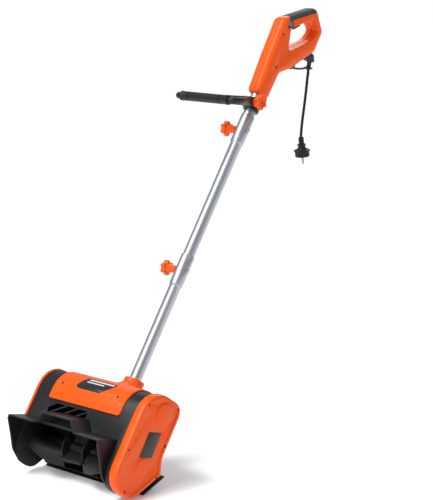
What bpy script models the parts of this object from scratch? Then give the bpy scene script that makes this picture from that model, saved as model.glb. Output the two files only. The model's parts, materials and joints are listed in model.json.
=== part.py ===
"""Corded electric snow blower: rotor head, three-piece shaft, front loop handle and rear D-handle.

Everything but the hanging cord is drawn in the shaft's own frame, where Z runs up the tube, X runs
to the operator's left and Y points behind the tube. An empty then leans that frame back.
"""
import math

import bmesh
import bpy
from mathutils import Matrix, Vector

for thing in list(bpy.data.objects):
    bpy.data.objects.remove(thing, do_unlink=True)

# ---------------------------------------------------------------- driving sizes, in metres
GAP = 0.0003                    # clearance between pieces that touch
LEAN = math.radians(34.4)       # tube from upright

HEAD_DEPTH = 0.127              # side cover, front edge to back edge
HEAD_TOP = 0.125                # side cover above the shaft frame's origin
HEAD_BOTTOM = 0.127             # side cover below the origin
HEEL_OUT = 0.018                # heel of the side cover behind its back edge
HEEL_HEIGHT = -0.042
HOUSING_INSET = 0.003           # housing inside the side cover's outline
LEFT_FACE = -0.165              # housing, outer left face
RIGHT_FACE = 0.155              # housing, face under the belt cover
WALL = 0.0035
BELT_WALL = 0.137               # rotor chamber ends here, belt space starts behind it
BELT_WALL_THICK = 0.004
BELLY = 0.014                   # housing belly outside the cover's sloping sole

ROTOR_Y, ROTOR_Z = -0.053, -0.048
ROTOR_R = 0.061
TUNNEL_R = ROTOR_R + 0.003
ROTOR_SHAFT_R = 0.005
BEARING_R = 0.013
BEARING_WIDTH = 0.008
MOTOR_Y, MOTOR_Z = -0.053, 0.084
MOTOR_R = 0.029
MOTOR_SHAFT_R = 0.004
SMALL_PULLEY_R = 0.011
LARGE_PULLEY_R = 0.034
BELT_THICK = 0.003
BELT_WIDTH = 0.009
PULLEY_X = 0.156                # middle of the belt

COVER_DEPTH = 0.0267            # belt cover, along X
COVER_WALL = 0.003
END_COVER_DEPTH = 0.008

TUBE_R = 0.015
TUBE_WALL = 0.0015
SWAGE_R = 0.0172                # widened tube end that takes the next tube
SOCKET_FLOOR = 0.052
JOINT_LENGTH = 0.080
LOWER_JOINT = 0.415             # start of the widened end of the lower tube
UPPER_JOINT = 0.813
TUBE_TOP = 1.012
COLLAR_TOP = 0.159
COLUMN_R = 0.022

KNOB_R = 0.0195
KNOB_THICK = 0.015
KNOB_LOBES = 6
BOLT_R = 0.003

CLAMP_Z = 0.920
CLAMP_HEIGHT = 0.030
PIVOT_Y, PIVOT_Z = -0.029, 0.917
LOOP_HALF = 0.090               # aux handle, half width between arm centres
LOOP_R = 0.0085
GRIP_R = 0.0122
GRIP_HALF = 0.078
GRIP_Y, GRIP_Z = -0.165, 0.848

HANDLE_BASE = 0.948
HANDLE_HALF = 0.021             # rear handle, half thickness along X
HANDLE_WALL = 0.0028
HANDLE_ROUND = 0.011            # rounding of the rear handle's long edges

CORD_R = 0.0036
PLUG_R = 0.019
PIN_R = 0.0024
PIN_PITCH = 0.019

CURVE_STEP = math.radians(18)

# ---------------------------------------------------------------- scene set-up
parts = bpy.data.collections.new("parts")
tools = bpy.data.collections.new("cutters")
for collection in (parts, tools):
    bpy.context.scene.collection.children.link(collection)

frame = bpy.data.objects.new("shaft_frame", None)
parts.objects.link(frame)


def linear(value):
    return value / 12.92 if value <= 0.04045 else ((value + 0.055) / 1.055) ** 2.4


def paint(name, hex_code, roughness, metallic=0.0):
    """One Principled material from an sRGB hex colour."""
    material = bpy.data.materials.new(name)
    material.use_nodes = True
    shader = material.node_tree.nodes["Principled BSDF"]
    channels = [int(hex_code[i:i + 2], 16) / 255 for i in (0, 2, 4)]
    colour = [linear(c) for c in channels] + [1.0]
    shader.inputs["Base Color"].default_value = colour
    shader.inputs["Roughness"].default_value = roughness
    shader.inputs["Metallic"].default_value = metallic
    material.diffuse_color = colour
    return material


orange = ("F2541B", 0.38)
black = ("232426", 0.50)
dark = ("17181A", 0.60)
grey = ("5A5D61", 0.70)
silver = ("C4C6C9", 0.28, 1.0)
steel = ("9A9DA1", 0.35, 1.0)
rubber = ("1B1B1C", 0.80)


# ---------------------------------------------------------------- outlines in the YZ plane
def filleted(corners):
    """Points of a closed outline whose corners are (y, z, radius)."""
    points = []
    count = len(corners)
    for i, (y, z, radius) in enumerate(corners):
        here = Vector((y, z))
        back = (Vector(corners[i - 1][:2]) - here).normalized()
        ahead = (Vector(corners[(i + 1) % count][:2]) - here).normalized()
        if radius < 1e-5:
            points.append(here)
            continue
        half = back.angle(ahead) / 2
        reach = radius / math.tan(half)
        centre = here + (back + ahead).normalized() * radius / math.sin(half)
        first = here + back * reach - centre
        last = here + ahead * reach - centre
        sweep = first.angle_signed(last)
        steps = max(1, round(abs(sweep) / CURVE_STEP))
        for k in range(steps + 1):
            turn = -sweep * k / steps
            points.append(centre + Matrix.Rotation(turn, 2) @ first)
    return points


def grown(corners, distance):
    """The same corners with every edge moved outward, and the radii with them."""
    count = len(corners)
    area = sum(corners[i - 1][0] * corners[i][1] - corners[i][0] * corners[i - 1][1] for i in range(count))
    side = distance if area > 0 else -distance
    result = []
    for i, (y, z, radius) in enumerate(corners):
        here = Vector((y, z))
        before = (here - Vector(corners[i - 1][:2])).normalized()
        after = (Vector(corners[(i + 1) % count][:2]) - here).normalized()
        normal_before = Vector((before.y, -before.x))
        normal_after = Vector((after.y, -after.x))
        bisector = (normal_before + normal_after).normalized()
        moved = here + bisector * side / bisector.dot(normal_before)
        turn = before.x * after.y - before.y * after.x
        convex = turn * area > 0
        new_radius = radius + distance if convex else radius - distance
        result.append((moved.x, moved.y, max(0.0, new_radius) if radius > 0 else 0.0))
    return result


# ---------------------------------------------------------------- solids
def named(name, mesh, look, cutter=False):
    body = bpy.data.objects.new(name, mesh)
    (tools if cutter else parts).objects.link(body)
    if cutter:
        body.hide_render = True
        body.display_type = "WIRE"
    else:
        mesh.materials.append(paint(name, *look))
    return body


def prism(name, outline, axis, low, high, look=None, cutter=False, pivot=(0, 0, 0)):
    """A flat outline pulled along the X, Y or Z axis."""
    index = "XYZ".index(axis)
    mesh = bpy.data.meshes.new(name)
    bm = bmesh.new()
    ring = []
    for point in outline:
        place = list(point)
        place.insert(index, low)
        ring.append(bm.verts.new(place))
    pulled = bmesh.ops.extrude_face_region(bm, geom=[bm.faces.new(ring)])["geom"]
    moved = [v for v in pulled if isinstance(v, bmesh.types.BMVert)]
    step = [0.0, 0.0, 0.0]
    step[index] = high - low
    bmesh.ops.translate(bm, verts=moved, vec=step)
    bmesh.ops.recalc_face_normals(bm, faces=bm.faces)
    bmesh.ops.translate(bm, verts=bm.verts, vec=-Vector(pivot))
    bm.to_mesh(mesh)
    bm.free()
    body = named(name, mesh, look, cutter)
    body.location = pivot
    return body


def slab(name, outline, x0, x1, look=None, cutter=False, pivot=(0, 0, 0)):
    """A YZ outline pulled along X."""
    return prism(name, outline, "X", x0, x1, look, cutter, pivot)


def rod(name, radius, start, end, look=None, cutter=False, sides=24, top_radius=None, pivot=None):
    """A cylinder or cone between two points."""
    start, end = Vector(start), Vector(end)
    axis = end - start
    mesh = bpy.data.meshes.new(name)
    bm = bmesh.new()
    turn = Vector((0, 0, 1)).rotation_difference(axis).to_matrix().to_4x4()
    place = Matrix.Translation((start + end) / 2) @ turn
    bmesh.ops.create_cone(bm, cap_ends=True, segments=sides, radius1=radius,
                          radius2=radius if top_radius is None else top_radius,
                          depth=axis.length, matrix=place)
    pivot = Vector(pivot or (0, 0, 0))
    bmesh.ops.translate(bm, verts=bm.verts, vec=-pivot)
    bm.to_mesh(mesh)
    bm.free()
    body = named(name, mesh, look, cutter)
    body.location = pivot
    shade(body)
    return body


def box(name, low, high, look=None, cutter=False):
    low, high = Vector(low), Vector(high)
    mesh = bpy.data.meshes.new(name)
    bm = bmesh.new()
    size = Matrix.Diagonal((*(high - low), 1.0))
    bmesh.ops.create_cube(bm, size=1.0, matrix=Matrix.Translation((low + high) / 2) @ size)
    bm.to_mesh(mesh)
    bm.free()
    return named(name, mesh, look, cutter)


def lathe(name, profile, look=None, cutter=False, steps=24, centre=(0, 0, 0), along_x=False):
    """A closed (radius, height) profile turned once round its axis."""
    mesh = bpy.data.meshes.new(name)
    bm = bmesh.new()
    turned = sum(a[0] * b[1] - b[0] * a[1] for a, b in zip(profile, profile[1:] + profile[:1]))
    if turned > 0:
        profile = profile[::-1]         # the screw wants the outer side drawn downwards
    ring = [bm.verts.new((radius, 0, height)) for radius, height in profile]
    for first, second in zip(ring, ring[1:] + ring[:1]):
        if first.co.x > 1e-6 or second.co.x > 1e-6:
            bm.edges.new((first, second))
    bm.to_mesh(mesh)
    bm.free()
    body = named(name, mesh, look, cutter)
    body.location = centre
    if along_x:
        body.rotation_euler = (0, math.pi / 2, 0)
    screw = body.modifiers.new("turn", "SCREW")
    screw.steps = steps
    screw.render_steps = steps
    screw.use_merge_vertices = True
    screw.merge_threshold = 0.0001
    screw.use_smooth_shade = False
    return body


def tube_path(name, points, radius, look, sides=2, cyclic=False):
    """A round bar swept along a curve."""
    curve = bpy.data.curves.new(name, "CURVE")
    curve.dimensions = "3D"
    curve.bevel_depth = radius
    curve.bevel_resolution = sides
    curve.use_fill_caps = True
    spline = curve.splines.new("POLY")
    spline.points.add(len(points) - 1)
    for knot, point in zip(spline.points, points):
        knot.co = (*point, 1.0)
    spline.use_cyclic_u = cyclic
    body = bpy.data.objects.new(name, curve)
    parts.objects.link(body)
    curve.materials.append(paint(name, *look))
    return body


def to_mesh(body):
    """Swap a curve object for a mesh object of the same name and place."""
    bpy.context.view_layer.update()
    graph = bpy.context.evaluated_depsgraph_get()
    mesh = bpy.data.meshes.new_from_object(body.evaluated_get(graph))
    bm = bmesh.new()
    bm.from_mesh(mesh)
    bmesh.ops.remove_doubles(bm, verts=bm.verts, dist=0.00005)
    bmesh.ops.recalc_face_normals(bm, faces=bm.faces)
    bm.to_mesh(mesh)
    bm.free()
    name, place = body.name, body.matrix_world.copy()
    bpy.data.objects.remove(body, do_unlink=True)
    swapped = bpy.data.objects.new(name, mesh)
    parts.objects.link(swapped)
    swapped.matrix_world = place
    return swapped


def combine(body, others, operation):
    for other in others:
        step = body.modifiers.new(other.name, "BOOLEAN")
        step.operation = operation
        step.solver = "EXACT"
        step.object = other


def carve(body, *cutters):
    combine(body, cutters, "DIFFERENCE")


def fuse(body, *others):
    combine(body, others, "UNION")


def trim_to(body, *others):
    combine(body, others, "INTERSECT")


def soften(body, width, segments=2, angle=40):
    bevel = body.modifiers.new("edges", "BEVEL")
    bevel.width = width
    bevel.segments = segments
    bevel.limit_method = "ANGLE"
    bevel.angle_limit = math.radians(angle)
    bevel.use_clamp_overlap = True


def shade(body):
    body.data.shade_smooth()
    body.data.set_sharp_from_angle(angle=math.radians(35))


# ---------------------------------------------------------------- head outlines
front, back = -HEAD_DEPTH, 0.0
cover_corners = [
    (front, HEAD_TOP, 0.062), (back, HEAD_TOP, 0.030), (back, -0.008, 0.050),
    (HEEL_OUT, HEEL_HEIGHT, 0.012), (-0.042, -HEAD_BOTTOM, 0.040), (front, -HEAD_BOTTOM, 0.052)]
sole = (Vector((-0.042, -HEAD_BOTTOM)) - Vector((HEEL_OUT, HEEL_HEIGHT))).normalized()
sole_out = Vector((-sole.y, sole.x))
belly_rear = Vector((HEEL_OUT, HEEL_HEIGHT)) + sole_out * BELLY - sole * 0.013
belly_front = Vector((HEEL_OUT, HEEL_HEIGHT)) + sole_out * BELLY + sole * 0.055
belly_notch = belly_front - sole_out * 0.016 + sole * 0.002
housing_front = front + HOUSING_INSET
housing_back = back - HOUSING_INSET
housing_top = HEAD_TOP - HOUSING_INSET
housing_bottom = -HEAD_BOTTOM + HOUSING_INSET
housing_corners = [
    (housing_front, housing_top, 0.059), (housing_back, housing_top, 0.027), (housing_back, 0.004, 0.020),
    (*belly_rear, 0.010), (*belly_front, 0.0015), (*belly_notch, 0.0015),
    (-0.039, housing_bottom, 0.038), (housing_front, housing_bottom, 0.049)]
axle = (ROTOR_Y, ROTOR_Z)
motor_at = (MOTOR_Y, MOTOR_Z)
chamber_left = LEFT_FACE + WALL
bay_corners = [
    (housing_front + WALL, housing_top - WALL, 0.059 - WALL),
    (housing_back - WALL, housing_top - WALL, 0.027 - WALL),
    (housing_back - WALL, -0.004, 0.0), (*axle, 0.0), (housing_front + WALL, -0.015, 0.0)]
roof_z = -0.018                 # underside of the housing's nose, over the rotor


def on_x(radius, at, x0, x1, name, **more):
    """A rod along X round a point of the YZ plane."""
    return rod(name, radius, (x0, *at), (x1, *at), **more)


# ---------------------------------------------------------------- rotor housing
tunnel_end = Vector(axle) + (belly_front - Vector(axle)) * 2.2
mouth_outline = [
    axle, (-0.130, roof_z), (-0.230, roof_z), (-0.230, -0.230), (tunnel_end.x, -0.230), tuple(tunnel_end)]
housing = slab("rotor_housing", filleted(housing_corners), LEFT_FACE, RIGHT_FACE, black)
tunnel = on_x(TUNNEL_R, axle, chamber_left, BELT_WALL, "tunnel", cutter=True, sides=48)
mouth = slab("mouth", mouth_outline, chamber_left, BELT_WALL, cutter=True)
bay = slab("motor_bay", filleted(bay_corners), chamber_left, RIGHT_FACE + 0.002, cutter=True)
carve(bay, on_x(TUNNEL_R + WALL, axle, chamber_left - 0.01, RIGHT_FACE + 0.01, "tunnel_skin",
                cutter=True, sides=48))
belt_floor = BELT_WALL + BELT_WALL_THICK
recess = on_x(TUNNEL_R - 0.014, axle, belt_floor, RIGHT_FACE + 0.003, "belt_recess", cutter=True, sides=40)
corridor = box("belt_corridor", (belt_floor, ROTOR_Y - 0.040, ROTOR_Z),
               (RIGHT_FACE + 0.004, ROTOR_Y + 0.040, MOTOR_Z - 0.020), cutter=True)
carve(housing, tunnel, mouth, bay, recess, corridor)
column = rod("column", COLUMN_R, (0, 0, 0.036), (0, 0, housing_top - 0.0002), cutter=True, sides=36)
boss_reach = 0.0085
left_boss = on_x(0.017, axle, chamber_left - 0.001, chamber_left + boss_reach, "left_boss", cutter=True)
right_boss = on_x(0.017, axle, BELT_WALL - boss_reach, BELT_WALL + 0.001, "right_boss", cutter=True)
column_foot = rod("column_foot", 0.006, (-0.0001, -0.004, 0.004), (0, 0, 0.040), cutter=True, sides=36,
                  top_radius=COLUMN_R - 0.0002)
fuse(housing, column, column_foot, left_boss, right_boss)
socket = rod("tube_socket", TUBE_R + GAP, (0, 0, SOCKET_FLOOR), (0, 0, HEAD_TOP + 0.01), cutter=True, sides=32)
left_pocket = on_x(BEARING_R + GAP, axle, LEFT_FACE - 0.001, LEFT_FACE + 0.0095, "left_pocket", cutter=True)
left_hole = on_x(0.0075, axle, LEFT_FACE, chamber_left + 0.02, "left_hole", cutter=True)
right_pocket = on_x(BEARING_R + GAP, axle, belt_floor - 0.0095, belt_floor + 0.001, "right_pocket", cutter=True)
right_hole = on_x(0.0075, axle, BELT_WALL - 0.02, belt_floor, "right_hole", cutter=True)
carve(housing, socket, left_pocket, left_hole, right_pocket, right_hole)

# vent window under the hood, split by slanting ribs
VENT_LOW, VENT_HIGH = 0.005, 0.030
VENT_LEFT, VENT_RIGHT = -0.108, 0.019
RIB_PITCH, RIB_WIDTH, RIB_LEAN = 0.0365, 0.0088, 0.046
for i in range(4):
    rib = VENT_LEFT + 0.010 + RIB_PITCH * i
    low_left, low_right = rib - RIB_PITCH + RIB_WIDTH / 2, rib - RIB_WIDTH / 2
    corners = [(low_left, VENT_LOW), (low_right, VENT_LOW), (low_right + RIB_LEAN, VENT_HIGH),
               (low_left + RIB_LEAN, VENT_HIGH)]
    slot = prism(f"vent_{i + 1}", corners, "Y", housing_front - 0.012, housing_front + 0.012, cutter=True)
    trim_to(slot, box(f"vent_frame_{i + 1}", (VENT_LEFT, -0.2, VENT_LOW - 0.01), (VENT_RIGHT, 0.0, VENT_HIGH + 0.01),
                      cutter=True))
    carve(housing, slot)


# ---------------------------------------------------------------- intake scoop: visor and side wings
LIP_Y, LIP_Z = -0.180, -0.040
VISOR_WALL = 0.003
rise = Vector((0, housing_front - GAP - LIP_Y, roof_z + 0.0005 - LIP_Z))
middle = (chamber_left + BELT_WALL) / 2
arch_half, arch_top, arch_height = 0.0705, 0.045, 0.027
upper_line = [
    (LEFT_FACE, 0), (middle - arch_half, 0), (middle - arch_top, arch_height),
    (middle + arch_top, arch_height), (middle + arch_half, 0), (BELT_WALL + BELT_WALL_THICK, 0)]
visor_section = upper_line + [(x, z + VISOR_WALL) for x, z in reversed(upper_line)]
visor_mesh = bpy.data.meshes.new("intake_scoop")
bm = bmesh.new()
lip_face = bm.faces.new([bm.verts.new((x, LIP_Y, LIP_Z + z)) for x, z in visor_section])
pulled = bmesh.ops.extrude_face_region(bm, geom=[lip_face])["geom"]
bmesh.ops.translate(bm, verts=[v for v in pulled if isinstance(v, bmesh.types.BMVert)], vec=rise)
bmesh.ops.recalc_face_normals(bm, faces=bm.faces)
bm.to_mesh(visor_mesh)
bm.free()
scoop = named("intake_scoop", visor_mesh, black)
wing_outline = filleted([
    (housing_front + 0.02, roof_z + VISOR_WALL, 0.0), (housing_front, roof_z + VISOR_WALL, 0.0),
    (LIP_Y + 0.001, LIP_Z + VISOR_WALL, 0.0), (LIP_Y + 0.001, LIP_Z - 0.006, 0.004), (-0.150, -0.076, 0.040),
    (-0.124, -0.105, 0.020), (-0.098, -0.118, 0.0), (-0.090, -0.100, 0.0)])
wing_left = slab("wing_left", wing_outline, LEFT_FACE + 0.0001, LEFT_FACE + 0.0036, cutter=True)
wing_right = slab("wing_right", wing_outline, BELT_WALL, belt_floor - 0.0001, cutter=True)
fuse(scoop, wing_left, wing_right)
carve(scoop, slab("housing_room", filleted(grown(housing_corners, GAP)), LEFT_FACE - 0.01, RIGHT_FACE + 0.01,
                  cutter=True))


# ---------------------------------------------------------------- side covers
cover_in = RIGHT_FACE + GAP
cover_out = cover_in + COVER_DEPTH
belt_cover = slab("belt_cover", filleted(cover_corners), cover_in, cover_out, orange)
soften(belt_cover, 0.0065, segments=2, angle=60)
carve(belt_cover, slab("cover_inside", filleted(grown(cover_corners, -COVER_WALL)), cover_in - 0.01,
                       cover_out - 0.0055, cutter=True))
carve(belt_cover, slab("cover_face", filleted(grown(cover_corners, -0.011)), cover_out - 0.0025,
                       cover_out + 0.01, cutter=True))
upper_bump = rod("upper_bump", 0.029, (cover_out - 0.004, *motor_at), (cover_out + 0.0015, *motor_at),
                 cutter=True, top_radius=0.0255, sides=36)
lower_bump = rod("lower_bump", 0.024, (cover_out - 0.004, *axle), (cover_out + 0.0015, *axle),
                 cutter=True, top_radius=0.0205, sides=36)
fuse(belt_cover, upper_bump, lower_bump)
cover_screw_spots = [(-0.113, 0.084), (-0.118, -0.029), (-0.077, -0.117), (0.005, -0.051),
                     (-0.009, 0.022), (-0.016, 0.113)]
for i, (y, z) in enumerate(cover_screw_spots):
    post = on_x(0.0056, (y, z), cover_in + 0.0002, cover_out - 0.0045, f"screw_post_{i + 1}", cutter=True, sides=14)
    well = on_x(0.0036, (y, z), cover_out - 0.006, cover_out + 0.01, f"screw_well_{i + 1}", cutter=True, sides=14)
    fuse(belt_cover, post)
    carve(belt_cover, well)
    on_x(0.0032, (y, z), cover_out - 0.0057, cover_out - 0.0030, f"cover_screw_{i + 1}", look=steel, sides=14)

end_corners = [
    (front, HEAD_TOP, 0.062), (back, HEAD_TOP, 0.030), (back, -0.008, 0.050), (0.012, -0.040, 0.012),
    (-0.044, -0.112, 0.040), (-0.098, -0.112, 0.045), (front, -0.020, 0.050)]
end_cover = slab("end_cover_left", filleted(end_corners), LEFT_FACE - GAP - END_COVER_DEPTH, LEFT_FACE - GAP, orange)
soften(end_cover, 0.003, segments=2, angle=60)
carve(end_cover, on_x(0.020, axle, LEFT_FACE - 0.006, LEFT_FACE + 0.01, "end_relief", cutter=True))
plate_depth = cover_out - 0.0025
slab("rating_plate", [(-0.077, 0.031), (-0.038, 0.044), (-0.036, -0.018), (-0.075, -0.031)],
     plate_depth + 0.0002, plate_depth + 0.0010, dark)


# ---------------------------------------------------------------- orange hood over the motor, with its badge
HOOD_HALF = 0.119
HOOD_SKIN = 0.0045
hood_front_z, hood_rear_z = 0.0388, 0.092
room = slab("hood_room", filleted(grown(housing_corners, GAP)), -0.2, 0.2, cutter=True)
hood_trim = prism("hood_trim", filleted([
    (-HOOD_HALF, hood_front_z, 0.008), (-HOOD_HALF, 0.2, 0.0), (HOOD_HALF, 0.2, 0.0),
    (HOOD_HALF, hood_front_z, 0.008)]), "Y", -0.2, -0.050, cutter=True)
fuse(hood_trim, box("hood_rear_trim", (-0.121, -0.051, hood_rear_z), (0.121, 0.1, 0.19), cutter=True))
hood = slab("top_hood", filleted(grown(housing_corners, HOOD_SKIN)), -HOOD_HALF, HOOD_HALF, orange)
soften(hood, 0.0018, segments=1, angle=60)
carve(hood, room)
trim_to(hood, hood_trim)
flare_base = HEAD_TOP + 0.0012
flare = lathe("hood_flare", [
    (0.0, 0.096), (0.024, 0.096), (0.042, 0.112), (0.058, 0.121), (0.068, flare_base), (0.052, flare_base + 0.0038), (0.038, flare_base + 0.0098),
    (0.029, flare_base + 0.0168), (0.0255, flare_base + 0.024), (0.0255, flare_base + 0.028), (0.0, flare_base + 0.028)],
    cutter=True)
hood_back = housing_back + HOOD_SKIN
carve(flare, box("flare_back", (-0.1, hood_back, 0.05), (0.1, 0.2, 0.2), cutter=True))
collar = lathe("hood_collar", [
    (0.0, housing_top + GAP), (0.0255, housing_top + GAP), (0.0255, COLLAR_TOP - 0.0015), (0.024, COLLAR_TOP),
    (0.0, COLLAR_TOP)], cutter=True, steps=36)
carve(flare, room)
fuse(hood, flare, collar)
carve(hood, rod("hood_bore", TUBE_R + GAP, (0, 0, 0.06), (0, 0, 0.2), cutter=True, sides=32))
carve(hood, rod("column_room", COLUMN_R + GAP, (0, 0, 0.02), (0, 0, housing_top + GAP), cutter=True, sides=36))

badge = slab("hood_badge", filleted(grown(housing_corners, HOOD_SKIN + 0.0010)), -0.060, 0.070, dark)
carve(badge, slab("badge_room", filleted(grown(housing_corners, HOOD_SKIN + 0.0002)), -0.2, 0.2, cutter=True))
trim_to(badge, prism("badge_trim", filleted([
    (-0.051, 0.0845, 0.004), (-0.040, 0.0785, 0.004), (0.031, 0.0785, 0.004), (0.057, 0.103, 0.003),
    (0.057, 0.1125, 0.003), (-0.038, 0.1125, 0.003)]), "Y", -0.2, -0.06, cutter=True))

for i, (x, y, z) in enumerate([(-0.0955, -0.1255, 0.0815), (0.0900, -0.1255, 0.0820)]):
    corner = Vector((x, housing_front + 0.059, housing_top - 0.059))
    out = (Vector((x, y, z)) - corner).normalized()
    skin = corner + out * (0.059 + HOOD_SKIN)
    carve(hood, rod(f"hood_well_{i + 1}", 0.0036, skin - out * 0.0028, skin + out * 0.01, cutter=True, sides=14))
    rod(f"hood_screw_{i + 1}", 0.0032, skin - out * 0.0025, skin - out * 0.0007, steel, sides=14)


# ---------------------------------------------------------------- scraper bar under the belly
bar_outline = [
    belly_front + sole_out * GAP, belly_rear + sole_out * GAP + sole * 0.006, belly_rear + sole_out * 0.0005 - sole * 0.004,
    belly_rear + sole_out * 0.0040 - sole * 0.005, belly_rear + sole_out * 0.0045 + sole * 0.006,
    belly_front + sole_out * 0.0045 + sole * 0.002, belly_front + sole_out * 0.0020 + sole * 0.006]
bar = slab("scraper_bar", bar_outline, -0.160, 0.170, dark)
carve(bar, slab("bar_room", filleted(grown(housing_corners, GAP)), -0.2, 0.2, cutter=True))


# ---------------------------------------------------------------- motor, belt drive and bearings
shaft_left, shaft_right = -0.116, 0.164
can = on_x(MOTOR_R, motor_at, -0.095, 0.0717, "motor_can", look=silver, sides=36)
carve(can, on_x(MOTOR_SHAFT_R + GAP, motor_at, -0.11, 0.09, "can_bore", cutter=True, sides=20))
on_x(MOTOR_SHAFT_R, motor_at, shaft_left, shaft_right, "motor_shaft", look=steel, sides=20, pivot=(0, *motor_at))
bracket = slab("motor_plate", filleted(grown(bay_corners, -GAP)), 0.072, 0.076, steel)
carve(bracket, on_x(TUNNEL_R + WALL + GAP, axle, 0.06, 0.09, "plate_skin", cutter=True, sides=48))
carve(bracket, on_x(MOTOR_SHAFT_R + GAP, motor_at, 0.06, 0.09, "plate_bore", cutter=True, sides=20))

FAN_BLADES = 8
fan = on_x(0.009, motor_at, -0.1135, -0.1010, "cooling_fan", look=grey, sides=20, pivot=(0, *motor_at))
disc = on_x(0.026, motor_at, -0.1030, -0.1010, "fan_disc", cutter=True, sides=32)
fuse(fan, disc)
for i in range(FAN_BLADES):
    turn = 2 * math.pi * i / FAN_BLADES
    blade = box(f"fan_blade_{i + 1}", (-0.0045, 0.007, -0.0007), (0.0060, 0.0255, 0.0007), cutter=True)
    blade.location = (-0.1085, *motor_at)
    blade.rotation_euler = (turn, 0, 0)
    fuse(fan, blade)
carve(fan, on_x(MOTOR_SHAFT_R + GAP, motor_at, -0.13, -0.09, "fan_bore", cutter=True, sides=20))

flange = 0.0022
belt_half = BELT_WIDTH / 2 + GAP


def pulley(name, radius, shaft_radius, at):
    """A flanged wheel for the flat belt, its axis along X."""
    rim = radius + flange
    body = lathe(name, [
        (shaft_radius, -belt_half - 0.0018), (rim, -belt_half - 0.0018), (rim, -belt_half), (radius, -belt_half),
        (radius, belt_half), (rim, belt_half), (rim, belt_half + 0.0018), (shaft_radius, belt_half + 0.0018)],
        silver, centre=(PULLEY_X, *at), along_x=True, steps=28)
    return body


def belt_line(extra):
    """Outline of a band round both pulleys, that far outside their running faces."""
    apart = MOTOR_Z - ROTOR_Z
    lean = math.asin((LARGE_PULLEY_R - SMALL_PULLEY_R) / apart)
    points = []
    for radius, height, start, stop, count in (
            (SMALL_PULLEY_R + extra, MOTOR_Z, lean, math.pi - lean, 14),
            (LARGE_PULLEY_R + extra, ROTOR_Z, math.pi - lean, 2 * math.pi + lean, 26)):
        for k in range(count + 1):
            turn = start + (stop - start) * k / count
            points.append((ROTOR_Y + radius * math.cos(turn), height + radius * math.sin(turn)))
    return points


pulley("motor_pulley", SMALL_PULLEY_R, MOTOR_SHAFT_R + GAP, motor_at)
pulley("rotor_pulley", LARGE_PULLEY_R, ROTOR_SHAFT_R + GAP, axle)
belt = slab("drive_belt", belt_line(GAP + BELT_THICK), PULLEY_X - BELT_WIDTH / 2, PULLEY_X + BELT_WIDTH / 2, rubber)
carve(belt, slab("belt_inside", belt_line(GAP), PULLEY_X - 0.02, PULLEY_X + 0.02, cutter=True))

rotor_left, rotor_right = chamber_left + boss_reach + 0.0015, BELT_WALL - boss_reach - 0.0015
on_x(ROTOR_SHAFT_R, axle, LEFT_FACE - 0.003, 0.1655, "rotor_shaft", look=steel, sides=20, pivot=(0, *axle))
for name, x in (("bearing_left", LEFT_FACE + 0.0012), ("bearing_right", belt_floor - 0.0092)):
    lathe(name, [(ROTOR_SHAFT_R + GAP, 0), (BEARING_R, 0), (BEARING_R, BEARING_WIDTH), (ROTOR_SHAFT_R + GAP, BEARING_WIDTH)],
          steel, centre=(x, *axle), along_x=True, steps=20)


# ---------------------------------------------------------------- rotor: hub, three cupped blades a side, paddles between
HUB_R = 0.015
BLADE_THICK = 0.0036
rotor_middle = (rotor_left + rotor_right) / 2
throw = 0.034                   # half width of the middle, where the snow is thrown out
CURL = math.radians(55)


def scoop(name, x_end, x_inner, start, twist):
    """A cupped blade between two X positions: curled round the hub, fuller in the middle, twisted inwards."""
    rows, columns = 6, 4
    middle_line = []
    for k in range(rows):
        part = k / (rows - 1)
        reach = (ROTOR_R - 0.002) * (0.80 + 0.20 * math.sin(math.pi * (0.12 + 0.80 * part)))
        line = []
        for j in range(columns + 1):
            out = j / columns
            turn = start + twist * part + CURL * out ** 1.6
            radius = 0.009 + (reach - 0.009) * out
            line.append(Vector((x_end + (x_inner - x_end) * part, radius * math.cos(turn), radius * math.sin(turn))))
        middle_line.append(line)
    mesh = bpy.data.meshes.new(name)
    bm = bmesh.new()
    skins = []
    for side in (-0.5, 0.5):
        skin = []
        for k, line in enumerate(middle_line):
            row = []
            for j, point in enumerate(line):
                along = line[min(j + 1, columns)] - line[max(j - 1, 0)]
                across = middle_line[min(k + 1, rows - 1)][j] - middle_line[max(k - 1, 0)][j]
                face = along.cross(across).normalized()
                row.append(bm.verts.new(Vector((0, *axle)) + point + face * side * BLADE_THICK))
            skin.append(row)
        skins.append(skin)
    for skin in skins:
        for k in range(rows - 1):
            for j in range(columns):
                bm.faces.new((skin[k][j], skin[k][j + 1], skin[k + 1][j + 1], skin[k + 1][j]))
    rims = []
    for skin in skins:
        rim = [skin[0][j] for j in range(columns + 1)]
        rim += [skin[k][columns] for k in range(1, rows)]
        rim += [skin[rows - 1][j] for j in range(columns - 1, -1, -1)]
        rim += [skin[k][0] for k in range(rows - 2, 0, -1)]
        rims.append(rim)
    for i in range(len(rims[0])):
        n = (i + 1) % len(rims[0])
        bm.faces.new((rims[0][i], rims[0][n], rims[1][n], rims[1][i]))
    bmesh.ops.triangulate(bm, faces=bm.faces)
    bmesh.ops.recalc_face_normals(bm, faces=bm.faces)
    bm.to_mesh(mesh)
    bm.free()
    return named(name, mesh, None, True)


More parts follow.
